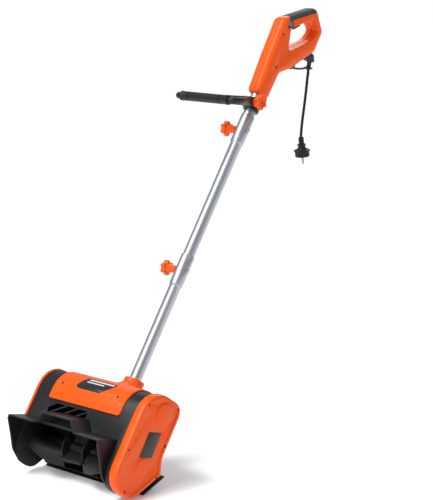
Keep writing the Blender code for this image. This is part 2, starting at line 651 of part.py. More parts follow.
rotor = on_x(HUB_R, axle, rotor_left, rotor_right, "rotor", look=black, sides=28, pivot=(rotor_middle, *axle))
SCOOPS = 3
for i in range(SCOOPS):
    turn = 2 * math.pi * i / SCOOPS + math.radians(165)
    twist = math.radians(45)
    fuse(rotor, scoop(f"scoop_left_{i + 1}", rotor_left + 0.003, rotor_middle - throw + 0.001, turn, twist))
    fuse(rotor, scoop(f"scoop_right_{i + 1}", rotor_right - 0.003, rotor_middle + throw - 0.001, turn, twist))
    paddle = box(f"paddle_{i + 1}", (-throw - 0.001, 0.008, -0.0026), (throw + 0.001, ROTOR_R - 0.013, 0.0026),
                 cutter=True)
    paddle.location = (rotor_middle, *axle)
    paddle.rotation_euler = (turn + twist + CURL * 0.45, 0, 0)
    fuse(rotor, paddle)
for side in (-1, 1):
    x = rotor_middle + side * throw
    fuse(rotor, on_x(0.040, axle, x - 0.0018, x + 0.0018, f"rotor_disc_{side}", cutter=True, sides=30))
carve(rotor, on_x(ROTOR_SHAFT_R + GAP, axle, rotor_left - 0.01, rotor_right + 0.01, "rotor_bore", cutter=True, sides=20))


# ---------------------------------------------------------------- three-piece tube
inner = TUBE_R - TUBE_WALL
sleeve = TUBE_R + GAP
lower_end = LOWER_JOINT + JOINT_LENGTH
middle_end = UPPER_JOINT + 0.077
bottom = SOCKET_FLOOR + 0.001
lathe("tube_lower", [
    (inner, bottom), (TUBE_R, bottom), (TUBE_R, LOWER_JOINT - 0.006), (SWAGE_R, LOWER_JOINT), (SWAGE_R, lower_end),
    (sleeve, lower_end), (sleeve, LOWER_JOINT + 0.004), (inner, LOWER_JOINT - 0.001)], silver)
lathe("tube_middle", [
    (inner, LOWER_JOINT + 0.0055), (TUBE_R, LOWER_JOINT + 0.0055), (TUBE_R, UPPER_JOINT - 0.006), (SWAGE_R, UPPER_JOINT),
    (SWAGE_R, middle_end), (sleeve, middle_end), (sleeve, UPPER_JOINT + 0.004), (inner, UPPER_JOINT - 0.001)], silver)
lathe("tube_upper", [(inner, UPPER_JOINT + 0.0055), (TUBE_R, UPPER_JOINT + 0.0055), (TUBE_R, TUBE_TOP), (inner, TUBE_TOP)],
      silver)
joints = {"lower": (LOWER_JOINT + 0.040, "tube_lower", "tube_middle"),
          "upper": (UPPER_JOINT + 0.036, "tube_middle", "tube_upper")}
for key, (height, outer_tube, inner_tube) in joints.items():
    hole = rod(f"joint_hole_{key}", BOLT_R + GAP, (-0.03, 0, height), (0.03, 0, height), cutter=True, sides=16)
    for tube_name in (outer_tube, inner_tube):
        carve(bpy.data.objects[tube_name], hole)


# ---------------------------------------------------------------- star knobs and their bolts
def star_outline(radius, lobes, centre):
    """Rounded star: one smooth wave for each lobe."""
    points = []
    count = lobes * 5
    for k in range(count):
        turn = 2 * math.pi * k / count
        reach = radius * (0.875 + 0.125 * math.cos(lobes * turn))
        points.append((centre[0] + reach * math.cos(turn), centre[1] + reach * math.sin(turn)))
    return points


def star_knob(name, inside, side, y, z, stem):
    """A knob whose inner end is at x = inside and which reaches out along +X or -X."""
    star_start = inside + side * stem
    star_end = star_start + side * KNOB_THICK
    body = slab(name, star_outline(KNOB_R, KNOB_LOBES, (y, z)), *sorted((star_start, star_end)), orange,
                pivot=((star_start + star_end) / 2, y, z))
    soften(body, 0.0025, segments=2, angle=50)
    hub = rod(f"{name}_hub", 0.0085, (inside, y, z), (star_start + side * 0.002, y, z), cutter=True, sides=24,
              top_radius=0.0125)
    fuse(body, hub)
    well = rod(f"{name}_well", BOLT_R + GAP, (inside - side * 0.01, y, z), (star_start + side * 0.006, y, z),
               cutter=True, sides=16)
    carve(body, well)
    return body


def bolt(name, head_at, tip_at, y, z):
    side = math.copysign(1.0, tip_at - head_at)
    body = rod(name, BOLT_R, (head_at, y, z), (tip_at, y, z), steel, sides=16)
    head = rod(f"{name}_head", 0.0055, (head_at - side * 0.004, y, z), (head_at + side * 0.0001, y, z), cutter=True, sides=6)
    fuse(body, head)
    return body


for key, (height, outer_tube, inner_tube) in joints.items():
    star_knob(f"star_knob_{key}", -SWAGE_R - 0.0008, -1, 0, height, 0.026)
    bolt(f"joint_bolt_{key}", SWAGE_R + 0.0006, -SWAGE_R - 0.028, 0, height)


# ---------------------------------------------------------------- clamp and front loop handle
clamp_low, clamp_high = CLAMP_Z - CLAMP_HEIGHT / 2, CLAMP_Z + CLAMP_HEIGHT / 2
clamp = rod("aux_clamp", 0.0205, (0, 0, clamp_low), (0, 0, clamp_high), black, sides=36)
ear_half = 0.0110
ear = prism("clamp_ear", filleted([
    (-0.010, clamp_low + 0.001, 0.0), (PIVOT_Y - 0.011, PIVOT_Z - 0.011, 0.0105), (PIVOT_Y - 0.011, PIVOT_Z + 0.011, 0.0105),
    (-0.010, clamp_high - 0.001, 0.0)]), "X", -ear_half, ear_half, cutter=True)
fuse(clamp, ear)
carve(clamp, rod("clamp_bore", TUBE_R + GAP, (0, 0, clamp_low - 0.01), (0, 0, clamp_high + 0.01), cutter=True, sides=32))
pivot_hole = rod("pivot_hole", BOLT_R + GAP, (-0.06, PIVOT_Y, PIVOT_Z), (0.06, PIVOT_Y, PIVOT_Z), cutter=True, sides=16)
carve(clamp, pivot_hole)

loop_reach = Vector((GRIP_Y - PIVOT_Y, GRIP_Z - PIVOT_Z))
loop_length = loop_reach.length
loop_dir = Vector((0, *loop_reach.normalized()))
pivot_point = Vector((0, PIVOT_Y, PIVOT_Z))
arm_x = ear_half + GAP + LOOP_R + 0.0002   # arm centre where it meets the clamp
loop_knots = [
    (-arm_x, -0.006), (-arm_x - 0.001, 0.016), (-LOOP_HALF - 0.002, loop_length - 0.030),
    (-LOOP_HALF - 0.004, loop_length)]
loop_knots += [(-x, reach) for x, reach in reversed(loop_knots)]


def rounded_path(knots, radius):
    """A polyline through the knots with every inner corner rounded."""
    points = [Vector(knots[0])]
    for before, here, after in zip(knots, knots[1:], knots[2:]):
        here = Vector(here)
        back_way = Vector(before) - here
        on_way = Vector(after) - here
        cut = min(radius, back_way.length * 0.45, on_way.length * 0.45)
        first = here + back_way.normalized() * cut
        last = here + on_way.normalized() * cut
        for k in range(5):
            t = k / 4
            points.append(first * (1 - t) ** 2 + here * 2 * t * (1 - t) + last * t ** 2)
    points.append(Vector(knots[-1]))
    return points


loop_points = [pivot_point + Vector((x, 0, 0)) + loop_dir * reach for x, reach in rounded_path(loop_knots, 0.014)]
handle = to_mesh(tube_path("aux_handle", loop_points, LOOP_R, black, sides=2))
pads = []
for side in (-1, 1):
    x = side * arm_x
    pads.append(rod(f"arm_pad_{side}", 0.0115, (x - LOOP_R, PIVOT_Y, PIVOT_Z), (x + LOOP_R, PIVOT_Y, PIVOT_Z),
                    cutter=True, sides=28))
fuse(handle, *pads)
carve(handle, pivot_hole)
grip = rod("aux_grip", GRIP_R, (-GRIP_HALF, GRIP_Y, GRIP_Z), (GRIP_HALF, GRIP_Y, GRIP_Z), rubber, sides=28)
soften(grip, 0.002, segments=2, angle=50)
carve(grip, rod("grip_bore", LOOP_R + GAP, (-0.09, GRIP_Y, GRIP_Z), (0.09, GRIP_Y, GRIP_Z), cutter=True, sides=24))
arm_outer = arm_x + LOOP_R
star_knob("star_knob_clamp", arm_outer + 0.0008, 1, PIVOT_Y, PIVOT_Z, 0.011)
bolt("clamp_bolt", -arm_outer - 0.0006, arm_outer + 0.0125, PIVOT_Y, PIVOT_Z)


# ---------------------------------------------------------------- rear D-handle, in two halves
handle_corners = [
    (-0.024, 0.948, 0.0), (-0.024, 0.965, 0.010), (-0.031, 1.050, 0.060), (-0.036, 1.157, 0.020), (0.058, 1.247, 0.016),
    (0.116, 1.208, 0.014), (0.117, 1.148, 0.014), (0.062, 1.066, 0.020), (0.026, 1.030, 0.015), (0.024, 0.965, 0.010),
    (0.024, 0.948, 0.0)]
window_corners = [
    (-0.003, 1.146, 0.008), (0.060, 1.213, 0.014), (0.098, 1.202, 0.012), (0.089, 1.168, 0.025), (0.020, 1.090, 0.009)]
bar_rear, bar_front = Vector(handle_corners[3][:2]), Vector(handle_corners[4][:2])
bar_along = (bar_front - bar_rear).normalized()
bar_start = bar_rear + bar_along * 0.036
bar_in = Vector((bar_along.y, -bar_along.x))    # from the bar's top edge into the opening


def bar_point(along, depth):
    """A YZ point measured along the gripping bar and down from its top edge."""
    return tuple(bar_start + bar_along * along + bar_in * depth)


skin_corners = grown(handle_corners, -HANDLE_WALL)
window_rim = grown(window_corners, HANDLE_WALL)
GRIP_SKIN = 0.0016
grip_line = [(-0.0130, -0.020), (-0.0155, 0.001), (-0.0340, 0.029), (-0.0095, 0.029), (-0.0070, 0.0125),
             (0.093, 0.0125), (0.093, -0.020)]
grip_zone = [bar_point(*corner) for corner in grip_line]
trigger_pivot = Vector(bar_point(0.0345, 0.0205))
button_zone = (-0.0265, -0.0145, 0.0125, 0.0245)      # along the bar from, to, then depth from, to
lower_line = (Vector((0.117, 1.148)) - Vector((0.062, 1.066))).normalized()
lower_out = Vector((lower_line.y, -lower_line.x))
gland_at = Vector((0.062, 1.066)) + lower_line * 0.080
screw_spots = [(0.002, 1.035), (0.080, 1.104), (-0.020, 1.118)]

tube_room = rod("tube_room", TUBE_R + GAP, (0, 0, 0.93), (0, 0, TUBE_TOP + 0.002), cutter=True, sides=32)
inner_full = slab("handle_inside", filleted(skin_corners), -HANDLE_HALF + HANDLE_WALL, HANDLE_HALF - HANDLE_WALL,
                  cutter=True)
soften(inner_full, HANDLE_ROUND - HANDLE_WALL, segments=2, angle=60)
carve(inner_full, slab("window_frame", filleted(window_rim), -0.03, 0.03, cutter=True))
carve(inner_full, rod("tube_collar", TUBE_R + 0.0045, (0, 0, 0.93), (0, 0, TUBE_TOP + 0.004), cutter=True, sides=32))
for i, (y, z) in enumerate(screw_spots):
    carve(inner_full, on_x(0.0052, (y, z), -0.03, 0.03, f"handle_post_{i + 1}", cutter=True, sides=16))
gland_hole = rod("gland_hole", 0.0062, (0, *(gland_at - lower_out * 0.010)), (0, *(gland_at + lower_out * 0.010)),
                 cutter=True, sides=20)
trigger_slot = slab("trigger_slot", [
    bar_point(-0.0046, 0.0180), bar_point(0.0390, 0.0180), bar_point(0.0390, 0.046), bar_point(-0.0046, 0.046)],
    -0.0088, 0.0088, cutter=True)


def button_outline(extra):
    start, stop, high, low = button_zone
    corners = [(start - extra, high - extra), (stop + extra, high - extra), (stop + extra, low + extra),
               (start - extra, low + extra)]
    return filleted([(*bar_point(*corner), 0.003) for corner in corners])


button_hole = slab("button_hole", button_outline(GAP), 0.010, 0.03, cutter=True)
skin_cut = slab("skin_cut", grip_zone, -0.03, 0.03, cutter=True)
core_line = slab("core_line", filleted(grown(handle_corners, -GRIP_SKIN - GAP)), -HANDLE_HALF + GRIP_SKIN + GAP,
                 HANDLE_HALF - GRIP_SKIN - GAP, cutter=True)
soften(core_line, HANDLE_ROUND - GRIP_SKIN - GAP, segments=2, angle=60)
carve(skin_cut, core_line)
for side, name in ((-1, "handle_shell_right"), (1, "handle_shell_left")):
    near, far = side * GAP / 2, side * HANDLE_HALF
    shell = slab(name, filleted(handle_corners), -HANDLE_HALF, HANDLE_HALF, orange)
    soften(shell, HANDLE_ROUND, segments=2, angle=60)
    carve(shell, box(f"{name}_half", (min(near, -side * 0.04), -0.2, 0.9), (max(near, -side * 0.04), 0.3, 1.4),
                     cutter=True))
    window = slab(f"{name}_window", filleted(window_corners), -0.03, 0.03, cutter=True)
    pin_seat = on_x(0.0022, trigger_pivot, *sorted((0.0, side * 0.0178)), f"{name}_pin_seat", cutter=True, sides=14)
    carve(shell, window, inner_full, tube_room, gland_hole, trigger_slot, skin_cut, pin_seat)
    if side > 0:
        carve(shell, button_hole)
    carve(shell, *[on_x(0.0022, trigger_pivot, *sorted((side * 0.0, side * 0.0178)), f"{name}_pin_seat",
                        cutter=True, sides=14)])
    for i, (y, z) in enumerate(screw_spots):
        if side > 0:
            carve(shell, on_x(BOLT_R + 0.0007, (y, z), HANDLE_HALF - 0.0075, 0.03, f"head_well_{i + 1}", cutter=True,
                              sides=16))
            carve(shell, on_x(0.0017, (y, z), -0.001, 0.03, f"shank_left_{i + 1}", cutter=True, sides=12))
        else:
            carve(shell, on_x(0.0017, (y, z), -0.012, 0.001, f"shank_right_{i + 1}", cutter=True, sides=12))

# soft skin over the back of the gripping bar
grip_skin = slab("grip_overmold", filleted(handle_corners), -HANDLE_HALF, HANDLE_HALF, grey)
soften(grip_skin, HANDLE_ROUND, segments=2, angle=60)
skin_zone = filleted(grown([(*corner, 0.0) for corner in grip_zone], -GAP))
trim_to(grip_skin, slab("skin_zone", skin_zone, -0.03, 0.03, cutter=True))
core_room = slab("core_room", filleted(grown(handle_corners, -GRIP_SKIN)), -HANDLE_HALF + GRIP_SKIN,
                 HANDLE_HALF - GRIP_SKIN, cutter=True)
soften(core_room, HANDLE_ROUND - GRIP_SKIN, segments=2, angle=60)
carve(grip_skin, core_room, slab("skin_button_hole", button_outline(GAP), 0.010, 0.03, cutter=True))

for i, (y, z) in enumerate(screw_spots):
    screw = on_x(BOLT_R + 0.0002, (y, z), HANDLE_HALF - 0.0072, HANDLE_HALF - 0.0050, f"handle_screw_{i + 1}",
                 look=steel, sides=14)
    fuse(screw, on_x(0.0014, (y, z), -0.0110, HANDLE_HALF - 0.0070, f"handle_shank_{i + 1}", cutter=True, sides=12))

# trigger on the inner face of the bar, its lock-off button and the switch behind them
trigger_outline = filleted([
    (*bar_point(-0.0010, 0.0195), 0.002), (*bar_point(0.0375, 0.0175), 0.002), (*bar_point(0.0375, 0.0320), 0.003),
    (*bar_point(0.0290, 0.0365), 0.012), (*bar_point(0.0060, 0.0400), 0.008), (*bar_point(-0.0010, 0.0365), 0.004)])
trigger = slab("trigger", trigger_outline, -0.0083, 0.0083, dark, pivot=(0, *trigger_pivot))
soften(trigger, 0.0012, segments=2, angle=50)
carve(trigger, on_x(0.0022, trigger_pivot, -0.02, 0.02, "trigger_eye", cutter=True, sides=16))
on_x(0.0019, trigger_pivot, -0.0175, 0.0175, "trigger_pin", look=steel, sides=14)
lock = slab("lock_button", button_outline(0), 0.0120, HANDLE_HALF + 0.0022, grey)
soften(lock, 0.0010, segments=2, angle=50)
fuse(lock, slab("lock_flange", button_outline(0.0012), 0.0125, 0.0150, cutter=True))
switch = slab("switch_box", [bar_point(0.000, 0.0055), bar_point(0.030, 0.0055), bar_point(0.030, 0.0115),
                             bar_point(0.000, 0.0115)], -0.0065, 0.0065, dark)
SPRING_TURNS = 3
spring_low, spring_high = 0.0188, 0.0122
spring_points = []
for k in range(SPRING_TURNS * 8 + 1):
    turn = 2 * math.pi * k / 8
    depth = spring_low + (spring_high - spring_low) * k / (SPRING_TURNS * 8)
    centre = Vector((0, *bar_point(0.006, depth)))
    spring_points.append(centre + Vector((0.0030 * math.cos(turn), *(bar_along * 0.0030 * math.sin(turn)))))
tube_path("trigger_spring", spring_points, 0.0004, steel, sides=1)

# ---------------------------------------------------------------- cord entry: gland with boot, inner cable, hook
gland_width = 0.0095
wedge_low, wedge_high = gland_at - lower_line * 0.0165, gland_at + lower_line * 0.0165
wedge = [wedge_low + lower_out * GAP, wedge_high + lower_out * GAP, gland_at + lower_out * 0.0105 + lower_line * 0.0230,
         gland_at + lower_out * 0.0282 + lower_line * 0.0190, gland_at + lower_out * 0.0270 + lower_line * 0.0120]
gland = slab("cord_gland", wedge, -gland_width, gland_width, grey)
soften(gland, 0.0015, segments=2, angle=40)
boot_start = Vector((0, *(gland_at + lower_out * 0.0200 + lower_line * 0.0125)))
boot_lean = math.radians(14)
boot_dir = Vector((0, math.sin(LEAN - boot_lean), -math.cos(LEAN - boot_lean)))
boot_end = boot_start + boot_dir * 0.026
boot = rod("boot", 0.0064, boot_start, boot_end, cutter=True, sides=24, top_radius=0.0052)
stub = rod("stub", 0.0059, (0, *(gland_at - lower_out * 0.0060)), (0, *(gland_at + lower_out * 0.004)), cutter=True, sides=20)
fuse(gland, boot, stub)
carve(gland, rod("boot_bore", CORD_R + GAP, boot_end - boot_dir * 0.010, boot_end + boot_dir * 0.01, cutter=True, sides=20))

cable_route = [
    tuple(gland_at - lower_out * 0.0092), (0.0945, 1.1370), (0.0830, 1.1290), (0.0600, 1.0960), (0.0400, 1.0790),
    (0.0220, 1.0745), (0.0060, 1.0850), (0.0000, 1.1020), (-0.0020, 1.1190), (-0.0085, 1.1350), (-0.0160, 1.1500),
    (-0.0150, 1.1610), bar_point(-0.0035, 0.0085)]
cable_points = [Vector((-0.006 if 0 < i < 12 else -0.003, y, z)) for i, (y, z) in enumerate(cable_route)]
tube_path("inner_cable", cable_points, 0.0022, rubber, sides=1)

hook_base = Vector((0.062, 1.066)) + lower_line * 0.014
hook_ring = boot_start + boot_dir * 0.0215
hook_start = Vector((0, *(hook_base + lower_out * 0.0038)))
hook_way = (hook_ring - hook_start).normalized()
hook_end = hook_ring - hook_way * 0.0088
hook_path = [hook_start + (hook_end - hook_start) * part + Vector((0, 0.0, -0.0035 * math.sin(math.pi * part)))
             for part in (0.0, 0.2, 0.4, 0.6, 0.8, 1.0)]
hook = to_mesh(tube_path("cord_hook", hook_path, 0.0028, rubber, sides=2))
hook_block = [hook_base - lower_line * 0.012 + lower_out * GAP, hook_base + lower_line * 0.012 + lower_out * GAP,
              hook_base + lower_line * 0.010 + lower_out * 0.0055, hook_base - lower_line * 0.008 + lower_out * 0.0055]
ring_profile = [(0.0088 + 0.0024 * math.cos(math.pi * k / 5), 0.0024 * math.sin(math.pi * k / 5)) for k in range(10)]
ring = lathe("hook_ring", ring_profile, cutter=True, steps=24, centre=hook_ring)
ring.rotation_euler = boot_dir.to_track_quat("Z", "Y").to_euler()
fuse(hook, slab("hook_block", hook_block, -0.0085, 0.0085, cutter=True), ring)

# ---------------------------------------------------------------- lean the shaft frame and set it on the ground
lean = Matrix.Rotation(-LEAN, 3, "X")
lowest = min((lean @ Vector((0, y, z))).z for y, z in [*filleted(cover_corners), *bar_outline])
frame.rotation_euler = (-LEAN, 0, 0)
frame.location = (0, 0.099, -lowest)


def to_world(point):
    return lean @ Vector(point) + frame.location


# ---------------------------------------------------------------- hanging cord with its plug
cord_out = to_world(boot_end)
start = to_world(boot_end - boot_dir * 0.008)
route = [
    (0.0000, -0.0080), (-0.0022, -0.0190), (-0.0040, -0.0310), (-0.0058, -0.0430), (-0.0077, -0.0550),
    (-0.0097, -0.0670), (-0.0118, -0.0790), (-0.0140, -0.0910), (-0.0163, -0.1030), (-0.0187, -0.1150),
    (-0.0210, -0.1270), (-0.0231, -0.1390), (-0.0248, -0.1510), (-0.0260, -0.1625), (-0.0267, -0.1740)]
knots = [start, cord_out] + [cord_out + Vector((0, y, z)) for y, z in route]


def smooth(points, per_span):
    """A curve through every point."""
    curve = []
    for i in range(len(points) - 1):
        p0, p1 = points[max(i - 1, 0)], points[i]
        p2, p3 = points[i + 1], points[min(i + 2, len(points) - 1)]
        for k in range(per_span):
            t = k / per_span
            curve.append(0.5 * (2 * p1 + (p2 - p0) * t + (2 * p0 - 5 * p1 + 4 * p2 - p3) * t * t
                                + (3 * p1 - p0 - 3 * p2 + p3) * t * t * t))
    return curve + [points[-1]]


plug_top = cord_out + Vector((0, *route[-1]))
plug_dir = Vector((0, 0.13, -1.0)).normalized()
knots.append(plug_top + plug_dir * 0.009)
cord = tube_path("cord", smooth(knots, 1), CORD_R, rubber, sides=3)

bore = CORD_R + GAP
plug = lathe("plug", [
    (bore, 0), (0.0058, 0), (0.0070, -0.003), (0.0072, -0.0185), (0.0115, -0.0190), (0.0115, -0.0215),
    (0.0095, -0.0245), (0.0105, -0.0290), (0.0150, -0.0325), (PLUG_R + 0.0025, -0.0345),
    (PLUG_R + 0.0025, -0.0375), (PLUG_R, -0.0385), (PLUG_R, -0.0512), (PLUG_R - 0.0008, -0.0520), (0, -0.0520),
    (0, -0.0100), (bore, -0.0100)], rubber, centre=plug_top, steps=24)
plug.rotation_euler = (-plug_dir).to_track_quat("Z", "Y").to_euler()
pin_across = Vector((-math.sin(math.radians(42)), math.cos(math.radians(42)), 0.0))
pin_across = (pin_across - plug_dir * pin_across.dot(plug_dir)).normalized()
for i, side in enumerate((-1, 1)):
    foot = plug_top + pin_across * side * PIN_PITCH / 2
    hole = rod(f"pin_hole_{i + 1}", PIN_R + GAP, foot + plug_dir * 0.044, foot + plug_dir * 0.06, cutter=True, sides=16)
    carve(plug, hole)
    pin = rod(f"plug_pin_{i + 1}", PIN_R, foot + plug_dir * 0.0445, foot + plug_dir * 0.070, silver, sides=16)
    for body in (hole, pin):
        body["hangs"] = True
for body in (cord, plug):
    body["hangs"] = True

# everything else leans with the shaft
for body in [*parts.objects, *tools.objects]:
    if body is not frame and not body.get("hangs"):
        body.parent = frame
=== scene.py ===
import json
import math

import bmesh
import bpy
from mathutils import Matrix, Vector

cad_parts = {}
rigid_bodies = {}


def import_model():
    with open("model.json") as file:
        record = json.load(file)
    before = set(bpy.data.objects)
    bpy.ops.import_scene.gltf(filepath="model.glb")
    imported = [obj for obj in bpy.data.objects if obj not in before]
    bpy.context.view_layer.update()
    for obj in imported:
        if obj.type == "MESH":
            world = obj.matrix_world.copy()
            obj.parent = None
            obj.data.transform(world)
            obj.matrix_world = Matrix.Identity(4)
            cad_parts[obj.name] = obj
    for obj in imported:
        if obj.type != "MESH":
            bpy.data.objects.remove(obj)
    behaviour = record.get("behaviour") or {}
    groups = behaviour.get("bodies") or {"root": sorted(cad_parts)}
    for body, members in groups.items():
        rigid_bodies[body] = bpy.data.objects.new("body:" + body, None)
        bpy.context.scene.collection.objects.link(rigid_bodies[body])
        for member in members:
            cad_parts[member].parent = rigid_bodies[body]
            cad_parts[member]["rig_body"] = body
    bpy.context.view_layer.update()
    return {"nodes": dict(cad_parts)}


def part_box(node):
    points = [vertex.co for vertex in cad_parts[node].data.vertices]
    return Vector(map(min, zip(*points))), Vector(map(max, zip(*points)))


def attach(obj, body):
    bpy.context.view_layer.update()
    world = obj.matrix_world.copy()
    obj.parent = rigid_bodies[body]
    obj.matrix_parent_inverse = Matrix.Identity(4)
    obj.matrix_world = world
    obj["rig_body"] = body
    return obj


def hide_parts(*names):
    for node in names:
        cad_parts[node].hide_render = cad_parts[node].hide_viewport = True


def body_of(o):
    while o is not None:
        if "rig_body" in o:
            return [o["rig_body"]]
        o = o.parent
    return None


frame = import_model()
bpy.ops.object.select_all(action="DESELECT")

# ------------------------------------------------------------------ camera, light and floor
# A long lens from the belt-cover side, a little above the handle, as in a catalogue picture.
# Soft lights and one low-contrast sun over a pale paper floor.
view = bpy.data.cameras.new("studio_camera")
view.lens = 123.4
view.sensor_width = 36.0
camera = bpy.data.objects.new("studio_camera", view)
camera.location = (2.817, -2.646, 1.316)
camera.rotation_euler = (math.radians(78.9), 0.0, math.radians(42.0))
bpy.context.scene.collection.objects.link(camera)
bpy.context.scene.camera = camera


def tone(code):
    """An sRGB hex colour as linear RGBA."""
    channels = [int(code[i:i + 2], 16) / 255 for i in (0, 2, 4)]
    return [c / 12.92 if c <= 0.04045 else ((c + 0.055) / 1.055) ** 2.4 for c in channels] + [1.0]


def put(tree, kind, inputs=None, **settings):
    """One node with its settings, its values and its links."""
    item = tree.nodes.new(kind)
    for name, value in settings.items():
        setattr(item, name, value)
    for key, value in (inputs or {}).items():
        if isinstance(value, bpy.types.NodeSocket):
            tree.links.new(value, item.inputs[key])
        else:
            item.inputs[key].default_value = value
    return item


world = bpy.data.worlds.new("studio")
bpy.context.scene.world = world
world.use_nodes = True
world.node_tree.nodes["Background"].inputs["Color"].default_value = tone("F4F5F7")
# the sky is dimmer for the machine than it looks behind it, so that dark plastic stays dark
SKY_ON_MACHINE, SKY_SEEN = 0.40, 1.08
direct = put(world.node_tree, "ShaderNodeLightPath").outputs["Is Camera Ray"]
strength = put(world.node_tree, "ShaderNodeMapRange",
               {"Value": direct, "To Min": SKY_ON_MACHINE, "To Max": SKY_SEEN}).outputs["Result"]
world.node_tree.links.new(strength, world.node_tree.nodes["Background"].inputs["Strength"])
bpy.context.scene.view_settings.view_transform = "Standard"
sun = bpy.data.lights.new("window_light", "SUN")
sun.energy = 2.2
sun.angle = math.radians(22)
sun_object = bpy.data.objects.new("window_light", sun)
sun_object.rotation_euler = Vector((0.45, 1.0, -1.8)).to_track_quat("-Z", "Y").to_euler()
bpy.context.scene.collection.objects.link(sun_object)
LIGHT_AIM = Vector((0.0, 0.3, 0.45))
softboxes = (
    ("key_light", (0.2, -3.0, 2.6), 1.6, 62.0),
    ("side_light", (2.4, 1.4, 3.0), 0.8, 7.0),
    ("rear_light", (-1.6, 3.2, 2.8), 2.0, 36.0),
)
for name, place, size, power in softboxes:
    lamp = bpy.data.lights.new(name, "AREA")
    lamp.energy = power
    lamp.size = size
    lamp_object = bpy.data.objects.new(name, lamp)
    lamp_object.location = place
    lamp_object.rotation_euler = (LIGHT_AIM - Vector(place)).to_track_quat("-Z", "Y").to_euler()
    bpy.context.scene.collection.objects.link(lamp_object)


def blank(name, rough, metal=0.0):
    """A material with one Principled shader, its node tree and the object's own coordinates."""
    material = bpy.data.materials.new(name)
    material.use_nodes = True
    tree = material.node_tree
    shader = tree.nodes["Principled BSDF"]
    shader.inputs["Roughness"].default_value = rough
    shader.inputs["Metallic"].default_value = metal
    return material, tree, shader, put(tree, "ShaderNodeTexCoord").outputs["Object"]


def moulded(name, colour, rough, grain_mm, depth_mm, mottle=0.05, gloss=0.34):
    """Moulded plastic or rubber: faint mottling, uneven gloss and a fine grain."""
    material, tree, shader, place = blank(name, rough)
    mottle_mm = 45
    cloud = put(tree, "ShaderNodeTexNoise",
                {"Vector": place, "Scale": 1000 / mottle_mm, "Detail": 3.0}).outputs["Fac"]
    light = [min(1.0, c * (1 + mottle)) for c in tone(colour)[:3]] + [1.0]
    deep = [c * (1 - mottle) for c in tone(colour)[:3]] + [1.0]
    mixed = put(tree, "ShaderNodeMix", {0: cloud, 6: deep, 7: light}, data_type="RGBA").outputs[2]
    tree.links.new(mixed, shader.inputs["Base Color"])
    sheen = put(tree, "ShaderNodeMapRange", {"Value": cloud, "To Min": rough * 0.88, "To Max": rough * 1.12})
    tree.links.new(sheen.outputs["Result"], shader.inputs["Roughness"])
    grain = put(tree, "ShaderNodeTexNoise",
                {"Vector": place, "Scale": 1000 / grain_mm, "Detail": 2.0}).outputs["Fac"]
    relief = put(tree, "ShaderNodeBump", {"Height": grain, "Strength": 1.0, "Distance": depth_mm / 1000})
    tree.links.new(relief.outputs["Normal"], shader.inputs["Normal"])
    shader.inputs["Specular IOR Level"].default_value = gloss
    return material


bpy.ops.mesh.primitive_plane_add(size=40.0, location=(0.0, 0.0, -0.0015))
floor = bpy.context.object
floor.name = "studio_floor"
# white_paper_floor: a matt sheet, lifted toward white so that only the shadow shows on it
paper = moulded("white_paper_floor", "F7F7F8", 0.9, 1.5, 0.002, mottle=0.004)
paper.node_tree.nodes["Principled BSDF"].inputs["Emission Color"].default_value = tone("FFFFFF")
paper.node_tree.nodes["Principled BSDF"].inputs["Emission Strength"].default_value = 0.14
floor.data.materials.append(paper)
bpy.ops.object.select_all(action="DESELECT")


# ------------------------------------------------------------------ hanging cord
# Round PVC mains cord, 7.2 mm thick, about 0.2 m from the boot under the rear handle to the plug.
# It hangs by its own weight and leans a little toward the head.
CORD_THICK = 0.0072
CORD_ROUTE = [
    (0.0, 0.84138, 0.92479), (0.0, 0.83945, 0.91703), (0.0, 0.83945, 0.90903), (0.0, 0.83725, 0.89803),
    (0.0, 0.83545, 0.88603), (0.0, 0.83365, 0.87403), (0.0, 0.83175, 0.86203), (0.0, 0.82975, 0.85003),
    (0.0, 0.82765, 0.83803), (0.0, 0.82545, 0.82603), (0.0, 0.82315, 0.81403), (0.0, 0.82075, 0.80203),
    (0.0, 0.81845, 0.79003), (0.0, 0.81635, 0.77803), (0.0, 0.81465, 0.76603), (0.0, 0.81345, 0.75453),
    (0.0, 0.81275, 0.74303), (0.0, 0.81391, 0.73411)]
scene_pieces = bpy.context.scene.collection


def through(points, per_span):
    """A smooth curve through every point."""
    points = [Vector(p) for p in points]
    curve = []
    for i in range(len(points) - 1):
        p0, p1 = points[max(i - 1, 0)], points[i]
        p2, p3 = points[i + 1], points[min(i + 2, len(points) - 1)]
        for k in range(per_span):
            t = k / per_span
            curve.append(0.5 * (2 * p1 + (p2 - p0) * t + (2 * p0 - 5 * p1 + 4 * p2 - p3) * t * t
                                + (3 * p1 - p0 - 3 * p2 + p3) * t * t * t))
    return curve + [points[-1]]


def ringed(mesh, rings):
    """Faces between rings of vertices, each ring closed, with both ends capped."""
    count = len(rings[0])
    for low, high in zip(rings, rings[1:]):
        for k in range(count):
            mesh.faces.new((low[k], low[(k + 1) % count], high[(k + 1) % count], high[k]))
    mesh.faces.new(rings[0][::-1])
    mesh.faces.new(rings[-1])


def swept(mesh, points, radius, sides=40, normal=None, tall=None):
    """A rod along the points. A flat path takes its plane's normal, and tall stretches rings along it."""
    across = Vector((1.0, 0.0, 0.0))
    rings = []
    for i, point in enumerate(points):
        way = (points[min(i + 1, len(points) - 1)] - points[max(i - 1, 0)]).normalized()
        if normal is None:
            across = (across - way * across.dot(way)).normalized()
            other = way.cross(across)
        else:
            across, other = way.cross(normal).normalized(), normal
        stretch = tall[i] if tall else 1.0
        ring = []
        for k in range(sides):
            turn = 2 * math.pi * k / sides
            offset = across * math.cos(turn) + other * math.sin(turn) * stretch
            ring.append(mesh.verts.new(point + offset * radius))
        rings.append(ring)
    ringed(mesh, rings)


